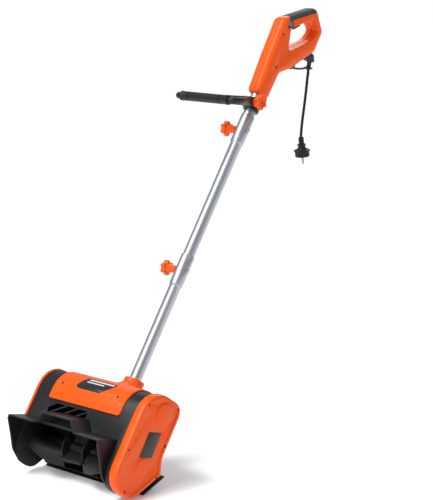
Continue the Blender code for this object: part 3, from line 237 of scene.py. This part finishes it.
def turned(mesh, profile, base, way, steps=96):
    """A body of revolution from (radius, distance along way) pairs that form a closed outline."""
    way = Vector(way).normalized()
    across = way.orthogonal().normalized()
    other = way.cross(across)
    rings = []
    for radius, reach in profile:
        middle = Vector(base) + way * reach
        if radius < 1e-6:
            rings.append([mesh.verts.new(middle)])
            continue
        ring = []
        for k in range(steps):
            turn = 2 * math.pi * k / steps
            ring.append(mesh.verts.new(middle + (across * math.cos(turn) + other * math.sin(turn)) * radius))
        rings.append(ring)
    for low, high in zip(rings, rings[1:] + rings[:1]):
        if len(low) == 1 and len(high) == 1:
            continue
        for k in range(steps):
            nearby = (k + 1) % steps
            corners = [low[k % len(low)], low[nearby % len(low)],
                       high[nearby % len(high)], high[k % len(high)]]
            mesh.faces.new(list(dict.fromkeys(corners)))


def piece_of(name, mesh, material, crease=35.0, bevel=0.0):
    """A new piece from the mesh: outward faces, softened edges, smooth shading and its material."""
    bmesh.ops.recalc_face_normals(mesh, faces=mesh.faces)
    data = bpy.data.meshes.new(name)
    mesh.to_mesh(data)
    mesh.free()
    piece = bpy.data.objects.new(name, data)
    scene_pieces.objects.link(piece)
    data.materials.append(material)
    bpy.context.view_layer.objects.active = piece
    piece.select_set(True)
    if bevel:
        edge = piece.modifiers.new("edge", "BEVEL")
        edge.width = bevel
        edge.segments = 2
        edge.limit_method = "ANGLE"
        edge.angle_limit = math.radians(crease)
        bpy.ops.object.modifier_apply(modifier="edge")
    bpy.ops.object.shade_smooth_by_angle(angle=math.radians(crease))
    piece.select_set(False)
    return piece


def stand_for(piece, node):
    """The piece takes the place of the CAD node and moves with its body."""
    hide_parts(node)
    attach(piece, body_of(frame["nodes"][node])[0])


# black_pvc_jacket: smooth, slightly shiny cord
pvc = moulded("black_pvc_jacket", "121214", 0.38, 0.8, 0.01, mottle=0.08)
mesh = bmesh.new()
cord_path = through(CORD_ROUTE, 5)
swept(mesh, cord_path, CORD_THICK / 2)
cord = piece_of("hanging_cord", mesh, pvc)
stand_for(cord, "cord")


# ------------------------------------------------------------------ plug
# Round two-pin plug moulded onto the cord's lower end: a slim ribbed sleeve, a waist and a wide
# body with a finger rim. Its pins are plated brass with rounded tips.
plug_top = Vector(CORD_ROUTE[-2])
plug_way = Vector((0.0, 0.13, -1.0)).normalized()
PLUG_R, PLUG_BORE = 0.019, CORD_THICK / 2
mesh = bmesh.new()
profile = [(PLUG_BORE, 0.0), (0.0054, 0.0), (0.0062, 0.0008)]
for k in range(5):
    reach = 0.0028 + 0.0030 * k
    profile += [(0.0070, reach), (0.0072, reach + 0.0012), (0.0064, reach + 0.0015),
                (0.0064, reach + 0.0024)]
profile += [
    (0.0072, 0.0183), (0.0110, 0.0190), (0.0115, 0.0196), (0.0115, 0.0213), (0.0098, 0.0240),
    (0.0096, 0.0262), (0.0105, 0.0290), (0.0128, 0.0313), (0.0160, 0.0330), (PLUG_R + 0.0017, 0.0345),
    (PLUG_R + 0.0025, 0.0352), (PLUG_R + 0.0025, 0.0371), (PLUG_R + 0.0015, 0.0379), (PLUG_R, 0.0385),
    (PLUG_R, 0.0508), (PLUG_R - 0.0010, 0.0519), (0.0, 0.0519), (0.0, 0.0110), (PLUG_BORE, 0.0110)]
turned(mesh, profile, plug_top, plug_way)
# black_plug_rubber: the softer, duller mix of the plug
plug_rubber = moulded("black_plug_rubber", "111113", 0.5, 0.5, 0.02, mottle=0.1)
plug = piece_of("round_plug", mesh, plug_rubber, crease=40.0)
stand_for(plug, "plug")
# nickel_pin: plated brass that reads as a darker metal against the pale floor
nickel, tree, shader, place = blank("nickel_pin", 0.22, 1.0)
shader.inputs["Base Color"].default_value = tone("8E8B86")
cloud = put(tree, "ShaderNodeTexNoise", {"Vector": place, "Scale": 1000 / 0.6, "Detail": 2.0}).outputs["Fac"]
patchy = put(tree, "ShaderNodeMapRange", {"Value": cloud, "To Min": 0.16, "To Max": 0.30})
tree.links.new(patchy.outputs["Result"], shader.inputs["Roughness"])
PIN_R, PIN_HALF = 0.0024, 0.01275
for node in ("plug_pin_1", "plug_pin_2"):
    low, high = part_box(node)
    middle = (low + high) / 2
    mesh = bmesh.new()
    turned(mesh, [(0.0, -PIN_HALF), (PIN_R, -PIN_HALF), (PIN_R, 0.0095), (0.0022, 0.0112),
                  (0.0016, 0.0123), (0.0007, PIN_HALF), (0.0, PIN_HALF)], middle, plug_way, steps=40)
    pin = piece_of(f"{node}_turned", mesh, nickel)
    stand_for(pin, node)


# ------------------------------------------------------------------ housing, scoop and scraper bar
# Black textured mouldings: the drum housing with its vent window, the angled visor with side wings,
# and the nylon scraper strip under the belly.
def carried(node, material, bevel=0.0005, crease=32.0):
    """A merged copy of the CAD node with softened edges stands for the node."""
    mesh = bmesh.new()
    mesh.from_mesh(frame["nodes"][node].data)
    bmesh.ops.remove_doubles(mesh, verts=mesh.verts, dist=0.00002)
    bmesh.ops.dissolve_limit(mesh, angle_limit=math.radians(0.8), verts=mesh.verts, edges=mesh.edges)
    stand_for(piece_of(f"{node}_surface", mesh, material, crease=crease, bevel=bevel), node)


# black_textured_pp: spark-eroded grain that breaks up the highlight
black_pp = moulded("black_textured_pp", "141517", 0.46, 0.7, 0.035, mottle=0.10)
carried("rotor_housing", black_pp, bevel=0.0008)
carried("intake_scoop", black_pp, bevel=0.0008)
# black_scraper_nylon: duller and blotchier, as a strip that rubs on the ground
carried("scraper_bar", moulded("black_scraper_nylon", "101112", 0.55, 1.1, 0.05, mottle=0.14))


# ------------------------------------------------------------------ rotor and its drive
# Cupped rubber blades on a hub, carried by a steel shaft in two bearings and driven by a belt.
# The motor can, its fan and its pulley sit under the hood and show through the vents only.
# black_rotor_rubber: dull moulded rubber with a coarser skin
rotor_rubber = moulded("black_rotor_rubber", "0F1011", 0.52, 1.4, 0.06, mottle=0.14)
carried("rotor", rotor_rubber, bevel=0.0006, crease=38.0)
# zinc_plated_steel: cool plated steel with faint clouds
zinc, tree, shader, place = blank("zinc_plated_steel", 0.32, 1.0)
shader.inputs["Base Color"].default_value = tone("B9BCC0")
cloud = put(tree, "ShaderNodeTexNoise", {"Vector": place, "Scale": 1000 / 4.0, "Detail": 4.0}).outputs["Fac"]
patchy = put(tree, "ShaderNodeMapRange", {"Value": cloud, "To Min": 0.24, "To Max": 0.42})
tree.links.new(patchy.outputs["Result"], shader.inputs["Roughness"])
# black_belt_rubber: nearly matt, with no clear highlight
belt_rubber = moulded("black_belt_rubber", "161617", 0.7, 0.9, 0.05, mottle=0.1)
for node in ("rotor_shaft", "motor_shaft", "bearing_left", "bearing_right", "motor_can", "motor_plate"):
    carried(node, zinc, bevel=0.0003)
carried("drive_belt", belt_rubber, bevel=0.0003)
# grey_cast_pulley: as-cast alloy, dull
cast = moulded("grey_cast_pulley", "8E9196", 0.48, 0.9, 0.04, mottle=0.12)
for node in ("rotor_pulley", "motor_pulley"):
    carried(node, cast, bevel=0.0003)
carried("cooling_fan", black_pp, bevel=0.0002)


# ------------------------------------------------------------------ orange covers
# Satin orange mouldings. The hood wraps over the motor and rises to a collar round the tube; the belt
# cover closes the drive side with two round bosses; a thin cover closes the other end.
# orange_satin_abs: saturated body colour under a soft, even gloss
orange_abs = moulded("orange_satin_abs", "EE5608", 0.36, 0.35, 0.006, mottle=0.03, gloss=0.24)
for node in ("top_hood", "belt_cover", "end_cover_left"):
    carried(node, orange_abs, bevel=0.0006)


# ------------------------------------------------------------------ hood badge and rating plate
# Two thin films glued to the covers: a dark badge on the curved front of the hood and a black
# rating label between the belt cover's bosses. Both are left without words.
LEAN, FOOT = math.radians(-34.4), Vector((0.0, 0.099, 0.08202))


def shaft_place(tree, place):
    """Coordinates in the tube's own frame: X across the machine, Y behind the tube, Z up the tube."""
    moved = put(tree, "ShaderNodeMapping",
                {"Vector": place, "Location": FOOT, "Rotation": (LEAN, 0.0, 0.0)}, vector_type="TEXTURE")
    return put(tree, "ShaderNodeSeparateXYZ", {"Vector": moved.outputs["Vector"]}).outputs


def band(tree, value, middle, half):
    """1 where the value is within half of middle, else 0."""
    return put(tree, "ShaderNodeMath", {0: value, 1: middle, 2: half}, operation="COMPARE").outputs["Value"]


# printed_badge: dark satin film with two plain pale bars
badge_film, tree, shader, place = blank("printed_badge", 0.32)
xyz = shaft_place(tree, place)
bars = None
for x_mid, x_half, z_mid, z_half in ((0.012, 0.040, 0.1075, 0.0018), (0.000, 0.028, 0.1000, 0.0014)):
    wide = band(tree, xyz["X"], x_mid, x_half)
    high = band(tree, xyz["Z"], z_mid, z_half)
    bar = put(tree, "ShaderNodeMath", {0: wide, 1: high}, operation="MULTIPLY").outputs["Value"]
    if bars is not None:
        bar = put(tree, "ShaderNodeMath", {0: bars, 1: bar}, operation="ADD").outputs["Value"]
    bars = bar
fibre = put(tree, "ShaderNodeTexNoise", {"Vector": place, "Scale": 1000 / 1.2, "Detail": 2.0}).outputs["Fac"]
film = put(tree, "ShaderNodeMix",
           {0: fibre, 6: tone("18191B"), 7: tone("202124")}, data_type="RGBA").outputs[2]
printed = put(tree, "ShaderNodeMix", {0: bars, 6: film, 7: tone("DDDEE0")}, data_type="RGBA").outputs[2]
tree.links.new(printed, shader.inputs["Base Color"])
carried("hood_badge", badge_film, bevel=0.0002)

# rating_film: black label with short blank rules, too fine to read
rating_film, tree, shader, place = blank("rating_film", 0.36)
xyz = shaft_place(tree, place)
flat = put(tree, "ShaderNodeCombineXYZ", {"X": xyz["Y"], "Y": xyz["Z"]}).outputs["Vector"]
rules = put(tree, "ShaderNodeTexBrick", {
    "Vector": flat, "Color1": tone("101113"), "Color2": tone("44464A"), "Mortar": tone("0E0F10"),
    "Scale": 1.0, "Mortar Size": 0.0012, "Brick Width": 0.0075, "Row Height": 0.0030, "Bias": -0.15},
    offset=0.37).outputs["Color"]
tree.links.new(rules, shader.inputs["Base Color"])
carried("rating_plate", rating_film, bevel=0.0002)


# ------------------------------------------------------------------ screws
# Small pan-head steel screws with a cross recess: six hold the belt cover, two the hood and three
# the handle shells. Each is a domed head, and the cross is cut with two thin blocks.
# dark screw steel: the dark colour is painted shade of the recessed screw wells, so a screw reads as a dark
# dot
shade_darkened, tree, shader, place = blank("shade_darkened_steel", 0.42, 1.0)
worn = put(tree, "ShaderNodeTexNoise", {"Vector": place, "Scale": 1000 / 1.5, "Detail": 3.0}).outputs["Fac"]
hue = put(tree, "ShaderNodeMix", {0: worn, 6: tone("3A3836"), 7: tone("56534F")}, data_type="RGBA").outputs[2]
tree.links.new(hue, shader.inputs["Base Color"])


def screw(node, out, radius, height):
    """A domed head with a cross recess, its flat top facing out, on the CAD screw's own place."""
    low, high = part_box(node)
    middle = (low + high) / 2
    out = Vector(out).normalized()
    reach = max((v.co - middle).dot(out) for v in frame["nodes"][node].data.vertices)
    top = middle + out * reach
    mesh = bmesh.new()
    dome = [(0.0, -height), (radius, -height), (radius, -height * 0.45),
            (radius * 0.86, -height * 0.12), (radius * 0.6, 0.0), (0.0, 0.0)]
    turned(mesh, dome, top, out, steps=40)
    head = piece_of(f"{node}_head", mesh, shade_darkened)
    turn = out.to_track_quat("Z", "Y").to_matrix().to_4x4()
    for spin in (0.35, 0.35 + math.pi / 2):
        mesh = bmesh.new()
        place_block = Matrix.Translation(top) @ turn @ Matrix.Rotation(spin, 4, "Z")
        block_size = Matrix.Diagonal((radius * 1.25, radius * 0.28, height * 0.9, 1.0))
        bmesh.ops.create_cube(mesh, size=1.0, matrix=place_block @ block_size)
        cutter = piece_of("cross_cutter", mesh, shade_darkened)
        cut = head.modifiers.new("cross", "BOOLEAN")
        cut.object = cutter
        cut.operation = "DIFFERENCE"
        cut.solver = "EXACT"
        bpy.context.view_layer.objects.active = head
        bpy.ops.object.modifier_apply(modifier="cross")
        bpy.data.objects.remove(cutter, do_unlink=True)
    stand_for(head, node)


def side_screws(group, count):
    """A group of screws that face +X, each as wide as its CAD screw and at most 2 mm tall."""
    for i in range(count):
        low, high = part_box(f"{group}_{i + 1}")
        screw(f"{group}_{i + 1}", (1.0, 0.0, 0.0), (high.y - low.y) / 2, min(0.002, high.x - low.x))


shaft = Matrix.Rotation(LEAN, 3, "X")
side_screws("cover_screw", 6)
for i in range(2):
    screw(f"hood_screw_{i + 1}", shaft @ Vector((0.0, -0.0605, 0.0185)), 0.0032, 0.0018)
side_screws("handle_screw", 3)


# ------------------------------------------------------------------ three-piece tube
# Anodised aluminium tube in three lengths; the two lower ones end in a widened socket that takes
# the next. Faint drawing lines run along it.
TUBE_R, TUBE_BORE, SOCKET_BORE, SOCKET_R = 0.0150, 0.0135, 0.0153, 0.0172
up = shaft @ Vector((0.0, 0.0, 1.0))
# anodised_tube: pale satin aluminium, streaked lengthwise
anodised, tree, shader, place = blank("anodised_tube", 0.40, 1.0)
streaks = put(tree, "ShaderNodeMapping", {"Vector": place, "Rotation": (LEAN, 0.0, 0.0),
                                          "Scale": (1.0, 1.0, 250.0)}, vector_type="TEXTURE")
lines = put(tree, "ShaderNodeTexNoise",
            {"Vector": streaks.outputs["Vector"], "Scale": 1000 / 0.5, "Detail": 3.0})
shine = put(tree, "ShaderNodeMapRange", {"Value": lines.outputs["Fac"], "To Min": 0.36, "To Max": 0.48})
tree.links.new(shine.outputs["Result"], shader.inputs["Roughness"])
hue = put(tree, "ShaderNodeMix",
          {0: lines.outputs["Fac"], 6: tone("A6A9AE"), 7: tone("BCBFC4")}, data_type="RGBA")
tree.links.new(hue.outputs[2], shader.inputs["Base Color"])
profiles = {
    "tube_lower": [
        (TUBE_BORE, 0.053), (TUBE_R, 0.053), (TUBE_R, 0.409), (0.0156, 0.4108), (0.0166, 0.4132),
        (SOCKET_R, 0.415), (SOCKET_R, 0.4942), (0.0168, 0.495), (SOCKET_BORE, 0.495),
        (SOCKET_BORE, 0.419), (TUBE_BORE, 0.414)],
    "tube_middle": [
        (TUBE_BORE, 0.4205), (TUBE_R, 0.4205), (TUBE_R, 0.807), (0.0156, 0.8088), (0.0166, 0.8112),
        (SOCKET_R, 0.813), (SOCKET_R, 0.8892), (0.0168, 0.890), (SOCKET_BORE, 0.890),
        (SOCKET_BORE, 0.817), (TUBE_BORE, 0.812)],
    "tube_upper": [
        (TUBE_BORE, 0.8185), (TUBE_R, 0.8185), (TUBE_R, 1.0112), (0.0146, 1.012), (TUBE_BORE, 1.012)],
}
for node, profile in profiles.items():
    mesh = bmesh.new()
    turned(mesh, profile, FOOT, up, steps=128)
    stand_for(piece_of(f"{node}_drawn", mesh, anodised, crease=40.0), node)


# ------------------------------------------------------------------ star knobs and their bolts
# Six-lobed orange knobs with a shallow dished face on zinc-plated bolts: two lock the tube joints,
# one clamps the front loop handle.
KNOB_R, KNOB_THICK, LOBES, LOBE_DEPTH, KNOB_STEPS = 0.0195, 0.015, 6, 0.125, 144
BOLT_WELL_R, KNOB_TURN = 0.0033, 0.6004


def star(node, side, stem):
    """A lobed knob that reaches out along X: hub cone, bevelled lobes and a dished outer face."""
    low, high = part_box(node)
    middle = (low + high) / 2
    inside = low.x if side > 0 else high.x
    mesh = bmesh.new()
    face = stem + KNOB_THICK
    well = BOLT_WELL_R / (KNOB_R * (1 - LOBE_DEPTH))
    sections = [
        (stem + 0.006, well, 0), (stem, well, 0), (stem, 0.84, 1), (stem + 0.0008, 0.93, 1),
        (stem + 0.0022, 1.0, 1), (face - 0.0024, 1.0, 1), (face - 0.0008, 0.94, 1), (face, 0.84, 1),
        (face, 0.62, 0), (face - 0.0004, 0.59, 0), (face - 0.0016, 0.56, 0), (face - 0.0020, 0.50, 0),
        (face - 0.0020, 0.22, 0), (face - 0.0060, 0.19, 0)]
    rings = []
    for reach, share, lobed in sections:
        ring = []
        for k in range(KNOB_STEPS):
            turn = 2 * math.pi * k / KNOB_STEPS
            radius = KNOB_R * (1 - LOBE_DEPTH + LOBE_DEPTH * lobed * math.cos(LOBES * turn)) * share
            ring.append(mesh.verts.new((inside + side * reach,
                                        middle.y + radius * math.cos(turn - KNOB_TURN),
                                        middle.z + radius * math.sin(turn - KNOB_TURN))))
        rings.append(ring)
    ringed(mesh, rings)
    hub = [(BOLT_WELL_R, 0.0), (0.0085, 0.0), (0.0105, stem * 0.6), (0.0125, stem + 0.001),
           (BOLT_WELL_R, stem + 0.001)]
    turned(mesh, hub, (inside, middle.y, middle.z), (side, 0, 0), steps=72)
    stand_for(piece_of(f"{node}_moulded", mesh, orange_abs, crease=40.0), node)


star("star_knob_lower", -1, 0.026)
star("star_knob_upper", -1, 0.026)
star("star_knob_clamp", 1, 0.011)
for node in ("joint_bolt_lower", "joint_bolt_upper", "clamp_bolt"):
    carried(node, zinc, bevel=0.0003)


# ------------------------------------------------------------------ clamp and front loop handle
# A black clamp on the upper tube carries a loop of thick rod that is taller near the clamp. It turns
# on two round pads, and a soft sleeve with end flanges and shallow rings covers its cross bar.
carried("aux_clamp", black_pp, bevel=0.0008)
PIVOT, GRIP = Vector((0.0, -0.029, 0.917)), Vector((0.0, -0.165, 0.848))
ARM_X, LOOP_HALF, LOOP_R, LOOP_CORNER, ARM_GROWTH = 0.0196, 0.090, 0.0085, 0.014, 0.42
reach_way = (GRIP - PIVOT).normalized()
loop_length = (GRIP - PIVOT).length
knots = [(-ARM_X, -0.006), (-ARM_X - 0.001, 0.016), (-LOOP_HALF - 0.002, loop_length - 0.030),
         (-LOOP_HALF - 0.004, loop_length)]
knots = [Vector(k) for k in knots] + [Vector((-x, reach)) for x, reach in reversed(knots)]
flat_path = [knots[0]]
for before, here, after in zip(knots, knots[1:], knots[2:]):
    trim = min(LOOP_CORNER, (before - here).length * 0.45, (after - here).length * 0.45)
    first = here + (before - here).normalized() * trim
    last = here + (after - here).normalized() * trim
    for t in range(11):
        flat_path.append(first * (1 - t / 10) ** 2 + here * 0.02 * t * (10 - t) + last * (t / 10) ** 2)
flat_path.append(knots[-1])
loop_path = [FOOT + shaft @ (PIVOT + Vector((x, 0.0, 0.0)) + reach_way * reach) for x, reach in flat_path]
height = [1.0 + ARM_GROWTH * max(0.0, 1.0 - max(0.0, reach) / (loop_length - 0.025))
          for x, reach in flat_path]
mesh = bmesh.new()
plane_normal = (shaft @ Vector((1.0, 0.0, 0.0)).cross(reach_way)).normalized()
swept(mesh, loop_path, LOOP_R, normal=plane_normal, tall=height)
pad = [(0.0, -LOOP_R), (0.0112, -LOOP_R), (0.0120, -LOOP_R + 0.0008), (0.0120, LOOP_R - 0.0008),
       (0.0112, LOOP_R), (0.0, LOOP_R)]
for side in (-1, 1):
    turned(mesh, pad, FOOT + shaft @ (PIVOT + Vector((side * ARM_X, 0.0, 0.0))), (1, 0, 0))
stand_for(piece_of("aux_handle_rod", mesh, black_pp, crease=40.0), "aux_handle")
grip_low, grip_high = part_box("aux_grip")
grip_middle = (grip_low + grip_high) / 2
half = (grip_high.x - grip_low.x) / 2
GRIP_R, GRIP_BORE = 0.0122, 0.0088
profile = [(GRIP_BORE, -half), (GRIP_R - 0.0012, -half), (GRIP_R, -half + 0.0012),
           (GRIP_R, -half + 0.006), (GRIP_R - 0.0006, -half + 0.0072)]
for at in (-0.052, -0.0485, 0.0485, 0.052):
    profile += [(GRIP_R - 0.0006, at - 0.0009), (GRIP_R - 0.0014, at - 0.0004),
                (GRIP_R - 0.0014, at + 0.0004), (GRIP_R - 0.0006, at + 0.0009)]
profile += [(GRIP_R - 0.0006, half - 0.0072), (GRIP_R, half - 0.006), (GRIP_R, half - 0.0012),
            (GRIP_R - 0.0012, half), (GRIP_BORE, half)]
mesh = bmesh.new()
turned(mesh, profile, grip_middle, (1, 0, 0))
# black_soft_sleeve: dense rubber with a broad, dim highlight
soft_rubber = moulded("black_soft_sleeve", "151618", 0.46, 0.6, 0.06, mottle=0.12)
stand_for(piece_of("aux_grip_sleeve", mesh, soft_rubber, crease=40.0), "aux_grip")


# ------------------------------------------------------------------ rear D-handle
# Two orange shells with a soft grey skin over the top of the gripping bar, a trigger under it and a
# lock button on the side. The switch, its spring and the trigger's pin are inside.
for node in ("handle_shell_left", "handle_shell_right"):
    carried(node, orange_abs, crease=52.0)
# grey_soft_skin: dark matt elastomer with small raised dots
skin, tree, shader, place = blank("grey_soft_skin", 0.62)
cells = put(tree, "ShaderNodeTexVoronoi", {"Vector": place, "Scale": 1000 / 2.4, "Randomness": 0.15})
dots = put(tree, "ShaderNodeMapRange", {
    "Value": cells.outputs["Distance"], "From Min": 0.25, "From Max": 0.45,
    "To Min": 1.0, "To Max": 0.0}).outputs["Result"]
relief = put(tree, "ShaderNodeBump", {"Height": dots, "Strength": 1.0, "Distance": 0.00025})
tree.links.new(relief.outputs["Normal"], shader.inputs["Normal"])
shade = put(tree, "ShaderNodeMix", {0: dots, 6: tone("2E3134"), 7: tone("3B3E42")}, data_type="RGBA")
tree.links.new(shade.outputs[2], shader.inputs["Base Color"])
carried("grip_overmold", skin, bevel=0.0004, crease=52.0)
# black_button_pom: hard, smooth plastic with a tight highlight
black_pom = moulded("black_button_pom", "151617", 0.36, 0.5, 0.008, mottle=0.08)
carried("trigger", black_pom, bevel=0.0006)
# grey button plastic, lightened as a painted highlight: lighter than the skin round it, so that the button
# shows
carried("lock_button", moulded("highlight_grey_button", "6C6F74", 0.4, 0.4, 0.01, mottle=0.06))
carried("switch_box", black_pom, bevel=0.0003)
for node in ("trigger_pin", "trigger_spring"):
    carried(node, zinc, bevel=0.0)


# ------------------------------------------------------------------ cord entry
# A grey wedge under the handle ends in a flexible boot round the cord, and a cable runs from it to
# the switch inside. A black hook beside it holds the extension cord's loop.
# grey_gland_rubber: matt, a shade lighter than the cord
carried("cord_gland", moulded("grey_gland_rubber", "2B2D30", 0.56, 0.6, 0.03, mottle=0.06), bevel=0.0003)
carried("inner_cable", pvc, bevel=0.0)
carried("cord_hook", black_pom, bevel=0.0004, crease=40.0)
